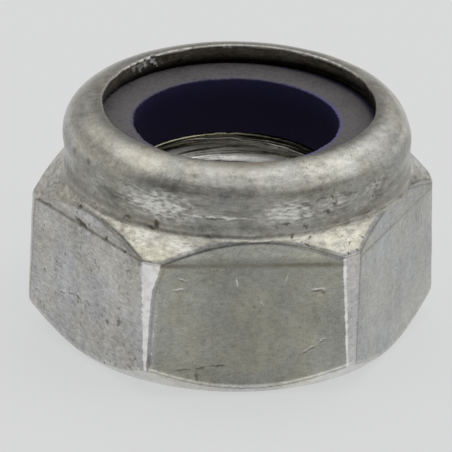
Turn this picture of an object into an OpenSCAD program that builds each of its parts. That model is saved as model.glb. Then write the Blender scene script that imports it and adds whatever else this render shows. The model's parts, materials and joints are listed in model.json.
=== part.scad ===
// Hexagon lock nut with a plastic insert trapped under a rolled lip.
// The origin is the centre of the bearing face, +Z is up along the thread.

/* [Thread] */
// Nominal outside diameter of the metric thread
thread_d = 16; // [14:0.5:17]
// Pitch of the thread
thread_pitch = 2; // [1:0.25:2.5]
// How much wider than the thread the countersink is at the bearing face
mouth_extra = 0.8; // [0.2:0.1:1.6]
// Slope of the countersink from the bearing face, in degrees
mouth_angle = 45; // [30:1:60]

/* [Hexagon] */
// Width across the flats
across_flats = 24; // [24:0.1:27]
// Height of a flat in the middle of its side
hex_h = 11.18; // [10.5:0.02:11.8]
// How far the bearing circle lies inside the flats
bearing_inset = 0.55; // [0.2:0.05:1.2]
// Slope of the lower chamfer from the bearing face, in degrees
base_chamfer = 40; // [20:1:45]
// Slope of the upper chamfer from the horizontal, in degrees
top_chamfer = 40; // [25:1:45]
// How much the forming die leaves off each corner at the lower chamfer
corner_cut_low = 0.2; // [0.05:0.01:0.5]
// How much the forming die leaves off each corner at the upper chamfer
corner_cut_high = 0.39; // [0.05:0.01:0.7]
// Height of the crease across each flat
crease_h = 9.67; // [8:0.01:10]
// Lean of the flats above the crease, in degrees
crease_lean = 4; // [1:0.5:6]

/* [Collar] */
// Height of the nut from the bearing face to the top of the lip
overall_h = 16; // [15.4:0.1:18]
// Largest diameter of the rolled collar
collar_d = 23.4; // [22.6:0.1:23.8]
// How far the neck lies inside the largest radius of the collar
neck_depth = 0.08; // [0.05:0.01:0.6]
// Radius of the hollow corner between the neck and the upper chamfer
neck_fillet = 0.7; // [0.3:0.05:0.75]
// Thickness of the collar wall and of the lip
lip_t = 1.4; // [1:0.05:1.6]
// Inner radius of the bend that turns the collar into the lip
bend_r = 0.8; // [0.4:0.05:1.1]
// How far the lip reaches in from the largest radius of the collar
lip_reach = 2.54; // [2.5:0.02:3.2]

/* [Insert] */
// Height of the insert ring
insert_h = 3.92; // [3:0.02:4.6]
// How much smaller than the thread the hole of the insert is
insert_grip = 2.25; // [1:0.05:2.8]

/* [Hidden] */
$fn = 128;

// Turned surfaces overlap by this much before they are joined or cut
over = 1;
sides = 6;
side_angle = 360 / sides;

// Depth of the basic metric thread form, on the diameter, as a share of the pitch
thread_form = 5 / 8 * sqrt(3);
minor_r = (thread_d - thread_form * thread_pitch) / 2;
mouth_r = (thread_d + mouth_extra) / 2;
mouth_h = (mouth_r - minor_r) * tan(mouth_angle);
insert_bore_r = (thread_d - insert_grip) / 2;

flat_r = across_flats / 2;
corner_r = across_flats / sqrt(3);
bearing_r = flat_r - bearing_inset;
low_corner_r = corner_r - corner_cut_low;
high_corner_r = corner_r - corner_cut_high;
low_corner_z = (low_corner_r - bearing_r) * tan(base_chamfer);
flat_top_r = flat_r - (hex_h - crease_h) * tan(crease_lean);
high_corner_z = hex_h - (high_corner_r - flat_top_r) * tan(top_chamfer);

collar_r = collar_d / 2;
neck_r = collar_r - neck_depth;
neck_z = hex_h + (flat_top_r - neck_r) * tan(top_chamfer);
groove_r = collar_r - lip_t;
opening_r = collar_r - lip_reach;
lip_r = bend_r + lip_t;
bend_at = [collar_r - lip_r, overall_h - lip_r];
insert_top = overall_h - lip_t;
seat_z = insert_top - insert_h;

// Centre of the neck's hollow corner: it touches the neck and the upper chamfer
fillet_r = neck_r + neck_fillet;
fillet_rise = neck_fillet / cos(top_chamfer) - (fillet_r - flat_top_r) * tan(top_chamfer);
fillet_at = [fillet_r, hex_h + fillet_rise];
fillet_foot = fillet_at - neck_fillet * [sin(top_chamfer), cos(top_chamfer)];

// Half section of the round blank that the hexagon is cut from
module blank_section() {
    polygon([
        [0, 0],
        [bearing_r, 0],
        [low_corner_r, low_corner_z],
        [high_corner_r, high_corner_z],
        [neck_r, neck_z],
        [0, neck_z]
    ]);
}

// Half section of the metal that fills the corner between chamfer and neck
module neck_corner_section() {
    difference() {
        polygon([[neck_r - over, fillet_at.y], [neck_r, fillet_at.y], fillet_foot, [neck_r - over, neck_z]]);
        translate(fillet_at) circle(neck_fillet);
    }
}

// Half section of the collar and its rolled lip, still filled inside
module collar_section() {
    translate([0, crease_h]) square([neck_r, bend_at.y - crease_h]);
    translate([0, bend_at.y]) square([bend_at.x, lip_r]);
    translate(bend_at) circle(lip_r);
    neck_corner_section();
}

// Half section of the groove: the insert fills it from the axis outward
module groove_section() {
    translate([0, seat_z]) square([bend_at.x, insert_h]);
    translate([0, seat_z]) square([groove_r, bend_at.y - seat_z]);
    translate(bend_at) circle(bend_r);
}

// Half section of the hole: countersink, thread bore and the lip's opening
module hole_section() {
    translate([0, -over]) square([minor_r, seat_z + 2 * over]);
    polygon([[0, 0], [mouth_r, 0], [minor_r, mouth_h], [0, mouth_h]]);
    translate([0, insert_top - over]) square([opening_r, lip_t + 2 * over]);
}

// One cut above the crease of the flat that faces +X
module crease_cut() {
    translate([flat_r, 0, crease_h])
        rotate([0, -crease_lean, 0])
            translate([0, -across_flats / 2, 0])
                cube([across_flats / 2, across_flats, overall_h]);
}

// The hexagon with its chamfers, worn corners and leaning upper flats
module hexagon() {
    difference() {
        intersection() {
            cylinder(r = corner_r, h = overall_h, $fn = sides);
            rotate_extrude() blank_section();
        }
        for (i = [0 : sides - 1]) rotate([0, 0, side_angle * (i + 0.5)]) crease_cut();
    }
}

// The steel piece: hexagon, collar and rolled lip in one
module nut_body() {
    color([0.66, 0.66, 0.63])
        difference() {
            union() {
                hexagon();
                rotate_extrude() collar_section();
            }
            rotate_extrude() groove_section();
            rotate_extrude() hole_section();
        }
}

// The nylon ring that fills the groove under the lip
module nylon_insert() {
    color([0.17, 0.16, 0.30])
        rotate_extrude()
            difference() {
                groove_section();
                translate([0, seat_z - over]) square([insert_bore_r, insert_h + 2 * over]);
            }
}

nut_body();
nylon_insert();
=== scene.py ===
"""Looks of the lock nut: the steel body with its thread, the nylon ring, floor, light and camera.

Shapes are worked out in millimetres in the nut's own frame and scaled to metres as meshes are made.
Angles are degrees around +Z from +X: corners lie at 0, 60, 120 and so on, with the flats between.
"""
import json
import math
from collections import namedtuple

import bmesh
import bpy
import numpy as np
from mathutils import Matrix, Vector


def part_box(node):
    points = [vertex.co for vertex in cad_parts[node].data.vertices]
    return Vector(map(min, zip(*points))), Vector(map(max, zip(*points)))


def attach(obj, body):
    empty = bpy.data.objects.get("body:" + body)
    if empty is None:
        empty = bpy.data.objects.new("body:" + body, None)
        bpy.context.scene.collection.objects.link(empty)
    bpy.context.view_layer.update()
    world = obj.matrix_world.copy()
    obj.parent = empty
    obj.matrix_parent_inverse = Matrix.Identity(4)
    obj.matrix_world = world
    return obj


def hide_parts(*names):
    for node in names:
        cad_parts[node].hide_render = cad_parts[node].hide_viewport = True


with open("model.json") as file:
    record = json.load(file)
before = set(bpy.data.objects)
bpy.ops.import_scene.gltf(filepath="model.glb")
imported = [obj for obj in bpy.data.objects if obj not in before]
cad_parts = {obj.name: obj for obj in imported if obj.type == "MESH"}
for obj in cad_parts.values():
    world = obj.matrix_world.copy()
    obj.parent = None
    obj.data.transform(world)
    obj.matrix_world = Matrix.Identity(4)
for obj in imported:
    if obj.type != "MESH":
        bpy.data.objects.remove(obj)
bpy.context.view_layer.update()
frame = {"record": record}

MM = 0.001
SIDE = 60.0
MERGE = 0.0005
SHARP_ANGLE = 32.0

# Sizes from the frame, in millimetres
body_high = np.array(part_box("nut_body")[1]) / MM
ring_low = np.array(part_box("nylon_insert")[0]) / MM
ring_high = np.array(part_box("nylon_insert")[1]) / MM
thread_mount = next(m for m in frame["record"]["mounts"] if m["name"] == "thread")
overall_h = body_high[2]
flat_r = body_high[1]
low_corner_r = body_high[0]
groove_r = ring_high[0]
seat_z = ring_low[2]
insert_top = ring_high[2]
minor_r = thread_mount["dims"]["r_mm"]

# Sizes of the solids that their boxes don't show
PITCH = 2.0
BEARING_INSET = 0.55
CHAMFER = 40.0
HEX_H = 11.18
CREASE_Z = 9.67
CREASE_LEAN = 4.0
HIGH_CORNER_CUT = 0.19
NECK_DEPTH = 0.08
NECK_FILLET = 0.7
LIP_T = 1.4
BEND_R = 0.8
LIP_REACH = 2.54
MOUTH_EXTRA = 0.4
INSERT_BORE_R = 6.875

slope = math.tan(math.radians(CHAMFER))
lean = math.tan(math.radians(CREASE_LEAN))
bearing_r = flat_r - BEARING_INSET
high_corner_r = low_corner_r - HIGH_CORNER_CUT
low_corner_z = (low_corner_r - bearing_r) * slope
flat_top_r = flat_r - (HEX_H - CREASE_Z) * lean
high_corner_z = HEX_H - (high_corner_r - flat_top_r) * slope
collar_r = groove_r + LIP_T
neck_r = collar_r - NECK_DEPTH
lip_r = BEND_R + LIP_T
bend_x = collar_r - lip_r
bend_z = overall_h - lip_r
opening_r = collar_r - LIP_REACH
fillet_x = neck_r + NECK_FILLET
fillet_z = HEX_H + NECK_FILLET / math.cos(math.radians(CHAMFER)) - (fillet_x - flat_top_r) * slope
foot_z = fillet_z - NECK_FILLET * math.cos(math.radians(CHAMFER))
thread_depth = 5.0 / 8.0 * math.sqrt(3.0) / 2.0 * PITCH
major_r = minor_r + thread_depth
mouth_r = major_r + MOUTH_EXTRA

# How far the worn edges of the hexagon are rounded, measured as overlap of the two surfaces
CREASE_ROUND = 0.03
CORNER_ROUND = 0.1
BASE_ROUND = 0.35
TOP_ROUND = 0.22
EDGE_ROUND = 0.2
LIP_EDGE_ROUND = 0.18
LIP_UNDERCUT = 0.28
CREST_ROUND = 0.5
SEAT_EDGE = 0.2
RING_EDGE = 0.12

# The camera of the photograph, fitted to the outline of the nut
LENS = 888.06
CAMERA_ELEVATION = 25.167
CAMERA_AZIMUTH = -6.791
CAMERA_ROLL = -1.204
NUT_RIGHT = 0.258
NUT_UP = -6.201
NUT_AWAY = 752.672

# The upper chamfer and the collar are set askew: off the axis to the camera's right, less so at the lip
FOOT_SHIFT = 0.28
LIP_SHIFT = 0.12
LIP_EDGE_SHIFT = 0.2
LIP_OVAL = 0.2
THREAD_DROP = 0.06
FAR_ANGLE = 90.0 + CAMERA_AZIMUTH
NEAR_ANGLE = FAR_ANGLE + 180.0

# Columns of the grid: across each corner band, from there to the middle of a flat, and degrees on the ring
BAND_COLUMNS = 13
FLAT_COLUMNS = 34
FLAT_CROWDING = 1.25
RING_STEP = 0.75

# Rows beside the edge of the upper chamfer, as distances from it
ARC_GAPS = (0.0, 0.045, 0.09, 0.14, 0.19, 0.25, 0.32)
BEVEL_GAPS = (0.39, 0.46, 0.54, 0.64)

# Reflected colours of the steel where it is clean, filmed over, greasy or shaded, some of them painted light
# and painted shade
CLEAN = np.array((0.48, 0.48, 0.465))
COOL = np.array((0.455, 0.465, 0.45))
# painted light: a lighter tone for the lower chamfer and for the thread lower down
LIT_STEEL = np.array((0.69, 0.695, 0.665))
CREAM = np.array((0.43, 0.425, 0.375))
# painted shade: the darker olive tone of the front flat, standing in for the darker floor it reflects
OLIVE_SHADE = np.array((0.305, 0.31, 0.268))
MAUVE = np.array((0.6, 0.588, 0.572))
GREY = np.array((0.42, 0.42, 0.4))
# painted highlight: a pale line along the lower edge of the flats
PALE_HIGHLIGHT = np.array((0.8, 0.79, 0.73))
# painted shade: the darker grey along the arcs, where the edge is rounded
BEVEL_SHADE = np.array((0.27, 0.275, 0.278))
# a grey film on the collar, darker partly as painted shade for the darker floor that the collar reflects
FILM_AND_SHADE = np.array((0.29, 0.29, 0.261))
LIP = np.array((0.425, 0.425, 0.39))
SHADED = np.array((0.13, 0.125, 0.09))
# painted shadow: near black for the thread under the ring and the foot of the lip's inner face
SHADOW_BLACK = np.array((0.02, 0.02, 0.016))
BROWN = np.array((0.408, 0.3825, 0.289))
THREAD = np.array((0.288, 0.2772, 0.2052))
FRONT, LEFT, RIGHT = 4, 3, 5
# the front flat takes the darker olive tone as painted shade
FLAT_TONES = (CLEAN, CLEAN, COOL, CLEAN, OLIVE_SHADE, COOL)
# A dark line at the crease of each flat, partly dirt and partly painted shade: its strength on each flat,
# how far above the crease it lies, and its slope across the front flat
CREASE_DIRT_AND_SHADE = (0.5, 0.5, 0.6, 1.0, 0.85, 0.6)
CREASE_DARK_RISE = (0.0, 0.0, 0.0, 0.1, -0.08, 0.0)
CREASE_DARK_SLOPE = -0.02

# Marks on the flats: which flat, place across and up it, half length and width, tilt, depth, dark and light
Mark = namedtuple("Mark", "side across height length width tilt depth dark light")
MARKS = (
    Mark(FRONT, 4.4, 7.58, 0.38, 0.1, 4.0, 0.08, 0.75, 0.8),
    Mark(FRONT, 4.75, 7.46, 0.16, 0.13, 0.0, 0.05, 0.6, 0.5),
    Mark(FRONT, 3.85, 3.25, 0.6, 0.05, 32.0, 0.04, 0.6, 0.5),
    Mark(FRONT, 4.75, 3.85, 0.3, 0.05, 36.0, 0.03, 0.5, 0.6),
    Mark(FRONT, -4.5, 2.06, 0.4, 0.06, 4.0, 0.01, 0.75, 0.0),
    Mark(FRONT, -3.3, 2.16, 0.35, 0.07, 8.0, 0.01, 0.7, 0.0),
    Mark(FRONT, -2.2, 2.3, 0.5, 0.06, 2.0, 0.01, 0.85, 0.0),
    Mark(FRONT, -3.6, 1.5, 0.1, 0.35, 10.0, 0.01, 0.6, 0.0),
    Mark(FRONT, -1.0, 8.3, 0.05, 0.3, 12.0, 0.02, 0.0, 0.6),
    Mark(FRONT, 2.3, 8.4, 0.05, 0.35, -15.0, 0.02, 0.2, 0.6),
    Mark(FRONT, -4.6, 8.6, 0.3, 0.06, -25.0, 0.02, 0.5, 0.7),
    Mark(FRONT, 0.7, 6.7, 0.05, 0.25, 30.0, 0.01, 0.3, 0.5),
    Mark(FRONT, -4.9, 7.9, 0.4, 0.06, 8.0, 0.02, 0.4, 0.6),
    Mark(LEFT, -2.75, 4.03, 0.3, 0.06, 14.0, 0.03, 0.7, 0.4),
    Mark(LEFT, -1.65, 4.34, 0.4, 0.05, 8.0, 0.03, 0.75, 0.4),
    Mark(LEFT, -0.85, 4.4, 0.3, 0.09, -20.0, 0.03, 0.85, 0.2),
    Mark(LEFT, 0.15, 4.38, 0.3, 0.07, -30.0, 0.03, 0.75, 0.2),
    Mark(LEFT, -0.1, 4.0, 0.06, 0.2, -10.0, 0.02, 0.6, 0.0),
    Mark(LEFT, 2.4, 3.9, 0.13, 0.2, 20.0, 0.03, 0.75, 0.3),
    Mark(LEFT, -0.85, 9.98, 0.55, 0.16, -12.0, 0.06, 1.0, 0.0),
    Mark(LEFT, -0.35, 9.85, 0.3, 0.14, -20.0, 0.06, 1.0, 0.0),
    Mark(LEFT, 2.1, 9.9, 0.15, 0.17, 0.0, 0.05, 1.0, 0.0),
    Mark(LEFT, 4.25, 9.75, 0.14, 0.11, 0.0, 0.04, 1.0, 0.0),
    Mark(LEFT, -4.4, 9.87, 0.3, 0.07, -6.0, 0.02, 0.9, 0.0),
    Mark(RIGHT, -1.5, 9.2, 0.5, 0.05, 30.0, 0.02, 0.5, 0.3),
    Mark(RIGHT, 3.4, 8.6, 0.07, 0.4, 0.0, 0.02, 0.6, 0.0),
    Mark(RIGHT, 4.3, 8.2, 0.06, 0.3, 5.0, 0.02, 0.5, 0.0),
    Mark(0, 1.4, 6.2, 0.6, 0.07, 25.0, 0.03, 0.7, 0.5),
    Mark(0, -3.0, 3.0, 0.3, 0.1, -10.0, 0.03, 0.9, 0.2),
    Mark(1, -2.2, 4.4, 0.35, 0.11, -20.0, 0.04, 0.9, 0.4),
    Mark(1, 3.1, 7.4, 0.7, 0.06, 12.0, 0.03, 0.6, 0.6),
    Mark(2, 0.6, 3.3, 0.25, 0.15, 40.0, 0.04, 0.9, 0.3),
    Mark(2, -3.4, 7.0, 0.5, 0.06, 18.0, 0.03, 0.6, 0.5),
)

# Dark spots on the collar and upper chamfer: angle, radius, height, half length and width, tilt and strength
Spot = namedtuple("Spot", "angle radius height length width tilt dark")
SPOTS = (
    Spot(237.5, 11.8, 11.75, 0.22, 0.3, 20.0, 1.0),
    Spot(240.4, 13.6, 2.75, 0.16, 0.5, 0.0, 0.5),
    Spot(236.0, 11.8, 11.45, 0.35, 0.08, -10.0, 0.8),
    Spot(226.0, 11.8, 11.65, 0.4, 0.1, 5.0, 0.8),
    Spot(257.0, 11.7, 12.75, 0.7, 0.07, 3.0, 0.55),
    Spot(262.5, 11.7, 13.35, 0.5, 0.06, 0.0, 0.4),
    Spot(283.0, 11.9, 11.4, 0.16, 0.1, 30.0, 0.9),
    Spot(281.0, 11.75, 12.3, 0.3, 0.07, 10.0, 0.7),
    Spot(296.0, 11.7, 12.7, 0.12, 0.16, 0.0, 0.8),
    Spot(299.0, 11.7, 13.2, 0.07, 0.2, 10.0, 0.6),
    Spot(196.0, 11.6, 14.2, 0.2, 0.2, 0.0, 0.55),
    Spot(206.0, 11.6, 14.3, 0.2, 0.25, 0.0, 0.55),
    Spot(190.0, 11.7, 12.9, 0.1, 0.2, 0.0, 0.6),
    Spot(312.0, 11.8, 11.7, 0.6, 0.1, 0.0, 0.6),
    Spot(30.0, 11.8, 11.75, 0.5, 0.12, 0.0, 0.8),
    Spot(95.0, 11.8, 11.7, 0.4, 0.15, 10.0, 0.8),
    Spot(150.0, 11.8, 11.75, 0.6, 0.1, -5.0, 0.7),
)

# Scuffed patches on the collar: angle around it and height, half their size each way, and strength
Scuff = namedtuple("Scuff", "angle height half_angle half_height strength")
SCUFFS = (
    Scuff(238.0, 13.15, 13.0, 1.0, 1.0),
    Scuff(257.0, 12.85, 12.0, 0.15, 0.9),
    Scuff(285.0, 12.75, 9.0, 0.2, 0.9),
    Scuff(281.5, 13.1, 9.0, 0.85, 0.9),
    Scuff(297.0, 13.3, 8.0, 0.7, 0.45),
    Scuff(318.0, 13.4, 8.0, 0.6, 0.4),
    Scuff(210.0, 13.2, 9.0, 0.8, 0.25),
    Scuff(252.0, 14.8, 8.0, 0.45, 0.65),
    # these two patches low on the upper chamfer also stand in for glints: painted highlights
    Scuff(247.0, 10.7, 4.0, 0.4, 0.9),
    Scuff(234.0, 10.9, 3.0, 0.35, 0.7),
    Scuff(301.0, 10.8, 7.0, 0.5, 0.25),
    Scuff(24.0, 13.0, 12.0, 0.7, 0.7),
    Scuff(78.0, 12.9, 14.0, 0.5, 0.7),
    Scuff(141.0, 13.2, 11.0, 0.8, 0.8),
    Scuff(62.0, 10.8, 5.0, 0.5, 0.6),
    Scuff(122.0, 10.8, 5.0, 0.5, 0.5),
    Scuff(2.0, 10.8, 6.0, 0.5, 0.6),
    Scuff(181.0, 10.8, 5.0, 0.5, 0.5),
)

# Scuffing where no patch lies, and the finish of a place that names nothing else
BASE_SCUFF = 0.05
PLAIN_FINISH = {"scuff": BASE_SCUFF, "worn": 0.0, "dirt": 0.0, "lined": 0.0, "pepper": 0.0, "rolled": 0.0}

# Chatter marks of the rolling tool on the inner edge of the lip, at the far left
CHIPS_FROM = 117.0
CHIPS_TO = 137.0
CHIP_ANGLE = 4.3
CHIP_DEPTH = 0.16
CHIP_SLANT = 4.0

# How uneven the surfaces are
FLAT_UNEVEN = 0.012
COLLAR_UNEVEN = 0.03
LIP_EDGE_UNEVEN = 0.018
CREST_UNEVEN = 0.03
NYLON_UNEVEN = 0.05
FLAT_SEED = 11
COLLAR_SEED = 23
LIP_SEED = 31
THREAD_SEED = 41
RING_SEED = 53

# Stains on the collar, and a painted dark reflection on the lip: where around it they lie, and how high that
# reflection lies
# darkening at the lip's near inner edge, partly a stain and partly painted shade
LIP_STAIN_AND_SHADE_ANGLE = 271.0
NECK_STAIN_ANGLE = 190.0
SPECKLED_ANGLE = 300.0
# a painted dark reflection on the lip
DARK_REFLECTION_ANGLE = 237.0
DARK_REFLECTION_Z = 14.5

# Colours that the shaders mix in, and those of the floor and the light
POLISHED = (0.75, 0.745, 0.71, 1.0)
# white of abraded steel, also used for painted highlights
RUBBED_AND_LIT = (0.8, 0.79, 0.77, 1.0)
RUBBED_AND_LIT_BRIGHT = (0.97, 0.965, 0.95, 1.0)
COOL_TINT = (0.98, 0.98, 1.01, 1.0)
WARM_TINT = (1.02, 1.0, 0.95, 1.0)
# grime, also used for painted shade
GRIME_AND_SHADE = (0.19, 0.172, 0.132, 1.0)
DEPOSIT = (0.055, 0.043, 0.026, 1.0)
NYLON_DARK = (0.006, 0.004, 0.024, 1.0)
NYLON_BLUE = (0.012, 0.01, 0.05, 1.0)
NYLON_DUST = (0.115, 0.109, 0.112, 1.0)
# painted highlight: the bright blue of the hole's edge
NYLON_HIGHLIGHT = (0.1, 0.095, 0.27, 1.0)
FLOOR_COLOUR = (0.17, 0.171, 0.174, 1.0)
FLOOR_GLOW = (0.985, 0.99, 1.0, 1.0)
ROOM_COLOUR = (1.0, 0.99, 0.97, 1.0)
BOX_COLOUR = (1.0, 0.985, 0.95)
FLOOR_HALF = 1.5

# Sockets of Blender's Mix node when it mixes colours: factor and the two colours, and the result
COLOUR_MIX_INPUTS = (0, 6, 7)
COLOUR_MIX_RESULT = 2


def smooth_min(first, second, reach):
    """The lesser of two values, with the corner where they cross rounded over the reach."""
    near = np.clip(1.0 - np.abs(first - second) / reach, 0.0, 1.0)
    return np.minimum(first, second) - near**2 * reach / 4.0


def ramp(low, high, value):
    """Rises from 0 at low to 1 at high, with no corner."""
    share = np.clip((value - low) / (high - low), 0.0, 1.0)
    return share * share * (3.0 - 2.0 * share)


def ripple(points, wavelength, seed, waves=14):
    """Smooth repeatable unevenness of about -1 to 1 at points in millimetres."""
    draw = np.random.default_rng(seed)
    total = np.zeros(len(points))
    for _ in range(waves):
        direction = draw.normal(size=3)
        direction /= np.linalg.norm(direction)
        length = wavelength * draw.uniform(0.7, 1.5)
        total += np.cos(points @ direction * (2.0 * math.pi / length) + draw.uniform(0.0, 2.0 * math.pi))
    return total / math.sqrt(waves)


def column_angles(half_band):
    """Angles of all columns, with the edges of every corner band on a column."""
    inside = np.linspace(-1.0, 1.0, BAND_COLUMNS) * half_band
    share = (np.arange(1, FLAT_COLUMNS + 1) / FLAT_COLUMNS) ** FLAT_CROWDING
    outside = half_band + (SIDE / 2.0 - half_band) * share
    around = np.concatenate([-outside[-2::-1], inside, outside])
    return np.concatenate([corner * SIDE + around for corner in range(6)])


def corner_radius(z):
    """Radius of the corners that the forming die left unfilled."""
    share = (z - low_corner_z) / (high_corner_z - low_corner_z)
    return low_corner_r - HIGH_CORNER_CUT * share


def flat_distance(z):
    """Distance of a flat from the axis: it leans in above the crease."""
    return smooth_min(flat_r, flat_r - (z - CREASE_Z) * lean, CREASE_ROUND)


def half_band_at(z):
    """Half the angle that a corner band takes up at a height."""
    z = np.clip(z, low_corner_z, high_corner_z)
    return SIDE / 2.0 - np.degrees(np.arccos(np.minimum(flat_r / corner_radius(z), 1.0)))


def around(points):
    """Angles of points around the axis, from 0 to 360."""
    return np.degrees(np.arctan2(points[:, 1], points[:, 0])) % 360.0


def off_middle(angle):
    """How far an angle lies from the middle of its flat, in radians."""
    return np.radians(angle % SIDE - SIDE / 2.0)


def toward(first, second, share):
    """Colours between two, by a share for each point."""
    return first + (second - first) * share[:, None]


def askew(angle):
    """How much farther out the upper chamfer lies at an angle, as it is turned off the axis."""
    return FOOT_SHIFT * np.cos(np.radians(angle - CAMERA_AZIMUTH))


def hex_radius(angle, z):
    """Radius of the hexagon's outside with its chamfers and rounded edges."""
    off = off_middle(angle)
    sides = smooth_min(flat_distance(z) / np.cos(off), corner_radius(z), CORNER_ROUND)
    base = bearing_r + z / slope
    top = flat_top_r + (HEX_H - z) / slope + askew(angle)
    return smooth_min(smooth_min(sides, base, BASE_ROUND), top, TOP_ROUND)


def base_line(angle):
    """Height at which the lower chamfer meets the sides."""
    off = off_middle(angle)
    return (np.minimum(flat_r / np.cos(off), low_corner_r) - bearing_r) * slope


def top_line(angle):
    """Height at which the upper chamfer meets the sides."""
    off = off_middle(angle)
    z = np.full_like(off, HEX_H)
    for _ in range(4):
        side = np.minimum((flat_r - (z - CREASE_Z) * lean) / np.cos(off), high_corner_r)
        z = HEX_H - (side - flat_top_r - askew(angle)) * slope
    return z


def ring_points(angle, radius, z):
    """Points of one ring from its angles, radii and heights."""
    turn = np.radians(angle)
    radius = np.broadcast_to(radius, turn.shape)
    z = np.broadcast_to(z, turn.shape)
    return np.stack([radius * np.cos(turn), radius * np.sin(turn), z], axis=1)


def bezier(start, middle, end, steps):
    """Points of a rounded corner between two straight stretches."""
    t = np.linspace(0.0, 1.0, steps)[:, None]
    start, middle, end = (np.array(p) for p in (start, middle, end))
    return (1.0 - t) ** 2 * start + 2.0 * t * (1.0 - t) * middle + t**2 * end


def arc(centre_r, centre_z, radius, first, last, steps):
    """Points of an arc in the half section, with its angles from outward to up."""
    turn = np.radians(np.linspace(first, last, steps))
    return np.stack([centre_r + radius * np.cos(turn), centre_z + radius * np.sin(turn)], axis=1)


def bearing_rings():
    """The bearing face from the countersink out, and the rounded edge of the lower chamfer."""
    angle = column_angles(half_band_at(low_corner_z))
    face = [(r, 0.0) for r in np.linspace(mouth_r, bearing_r - EDGE_ROUND, 3)]
    rise = math.radians(CHAMFER)
    chamfer_start = (bearing_r + EDGE_ROUND * math.cos(rise), EDGE_ROUND * math.sin(rise))
    edge = bezier(face[-1], (bearing_r, 0.0), chamfer_start, 5)[1:]
    return [("base", ring_points(angle, r, z)) for r, z in [*face, *edge]]


def hexagon_rings():
    """The sides of the hexagon: lower chamfer, flats, leaning upper flats and upper chamfer."""
    start = EDGE_ROUND * math.sin(math.radians(CHAMFER))
    low_band = half_band_at(low_corner_z)
    high_band = half_band_at(high_corner_z)
    rows = []

    angle = column_angles(low_band)
    for share in (0.2, 0.4, 0.6, 0.75, 0.88, 1.0):
        rows.append(("base", angle, start + (base_line(angle) - start) * share))

    shares = np.concatenate([[0.008, 0.018, 0.03, 0.044], np.linspace(0.06, 0.97, 40), [0.984, 0.992, 1.0]])
    for share in shares:
        angle = column_angles(low_band + (high_band - low_band) * share)
        rows.append(("flat", angle, base_line(angle) + (CREASE_Z - base_line(angle)) * share))

    angle = column_angles(high_band)
    crest = top_line(angle)
    below = crest - CREASE_Z
    close = np.minimum(1.0, below / (1.5 * BEVEL_GAPS[-1]))
    for share in (0.06, 0.14, 0.3, 0.5, 0.75):
        rows.append(("flat", angle, CREASE_Z + (below - BEVEL_GAPS[-1] * close) * share))
    for gap in (*BEVEL_GAPS[::-1], *ARC_GAPS[::-1]):
        rows.append(("flat", angle, crest - gap * close))
    above = foot_z - crest
    close = np.minimum(1.0, above / (2.0 * ARC_GAPS[-1]))
    for gap in ARC_GAPS[1:]:
        rows.append(("chamfer", angle, crest + gap * close))
    done = ARC_GAPS[-1] * close
    for share in (0.2, 0.4, 0.6, 0.8, 1.0):
        rows.append(("chamfer", angle, crest + done + (above - done) * share))
    return [(zone, side_points(angle, z)) for zone, angle, z in rows]


def mark_shares(angle, across, z):
    """Each mark with how much of it lies at each point of the sides."""
    side = (angle % 360.0 // SIDE).astype(int)
    for mark in MARKS:
        tilt = math.radians(mark.tilt)
        along = (across - mark.across) * math.cos(tilt) + (z - mark.height) * math.sin(tilt)
        beside = (z - mark.height) * math.cos(tilt) - (across - mark.across) * math.sin(tilt)
        yield mark, bell(along, mark.length) * bell(beside, mark.width) * (side == mark.side)


def side_points(angle, z):
    """A ring of the hexagon with its marks and uneven surface."""
    radius = hex_radius(angle, z)
    across = radius * np.sin(off_middle(angle))
    for mark, share in mark_shares(angle, across, z):
        radius = radius - mark.depth * share
    rough = np.clip(ripple(ring_points(angle, radius, z), 2.2, FLAT_SEED), -1.0, 1.0)
    radius = radius - FLAT_UNEVEN * (1.0 + rough) * ramp(0.3, 0.8, z)
    return ring_points(angle, radius, z)


def askew_way():
    """The direction in which the collar lies off the axis, as a vector."""
    return ring_points(np.array([CAMERA_AZIMUTH]), 1.0, 0.0)[0]


def drift(z):
    """How far a height of the collar lies off the axis, as a vector."""
    reach = FOOT_SHIFT + (LIP_SHIFT - FOOT_SHIFT) * ramp(fillet_z, overall_h, z)
    return reach * askew_way()


def groove_drift(z):
    """How far a height of the groove and its ring lies off the axis, as a vector: nothing at the seat."""
    return ramp(seat_z, insert_top, z) * drift(insert_top)


def edge_drift(zone, radius):
    """How much farther the lip lies off the axis toward its inner edge, as a vector."""
    share = 1.0 - ramp(opening_r, collar_r, radius) if zone in ("lip", "lip_face") else 0.0
    return share * LIP_EDGE_SHIFT * askew_way()


def collar_section():
    """Half section of the collar from the neck's hollow corner over the lip and into the groove."""
    hollow = arc(fillet_x, fillet_z, NECK_FILLET, 270.0 - CHAMFER, 180.0, 9)[1:]
    wall_z = np.linspace(fillet_z, bend_z, 16)[1:]
    bulge = bend_x + np.sqrt(np.maximum(lip_r**2 - (wall_z - bend_z) ** 2, 0.0))
    wall = np.stack([-smooth_min(-neck_r, -bulge, 0.1), wall_z], axis=1)
    edge_turn = math.degrees(math.acos((opening_r + LIP_EDGE_ROUND - bend_x) / lip_r))
    lip = arc(bend_x, bend_z, lip_r, 0.0, edge_turn, 30)[1:]
    edge = bezier(lip[-1], (opening_r, lip[-1][1]), (opening_r, lip[-1][1] - LIP_EDGE_ROUND), 5)[1:]
    face_z = np.linspace(edge[-1][1], insert_top, 8)[1:]
    face_r = np.linspace(opening_r, opening_r + LIP_UNDERCUT, 8)[1:]
    face = list(zip(face_r, face_z))
    under = [(bend_x, insert_top)]
    bend = arc(bend_x, bend_z, BEND_R, 90.0, 0.0, 4)[1:]
    stretches = {
        "wall": [*hollow, *wall],
        "lip": [*lip, *edge],
        "lip_face": face,
        "groove": [*under, *bend, (groove_r, seat_z)],
    }
    return [(zone, r, z) for zone, stretch in stretches.items() for r, z in stretch]


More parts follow.
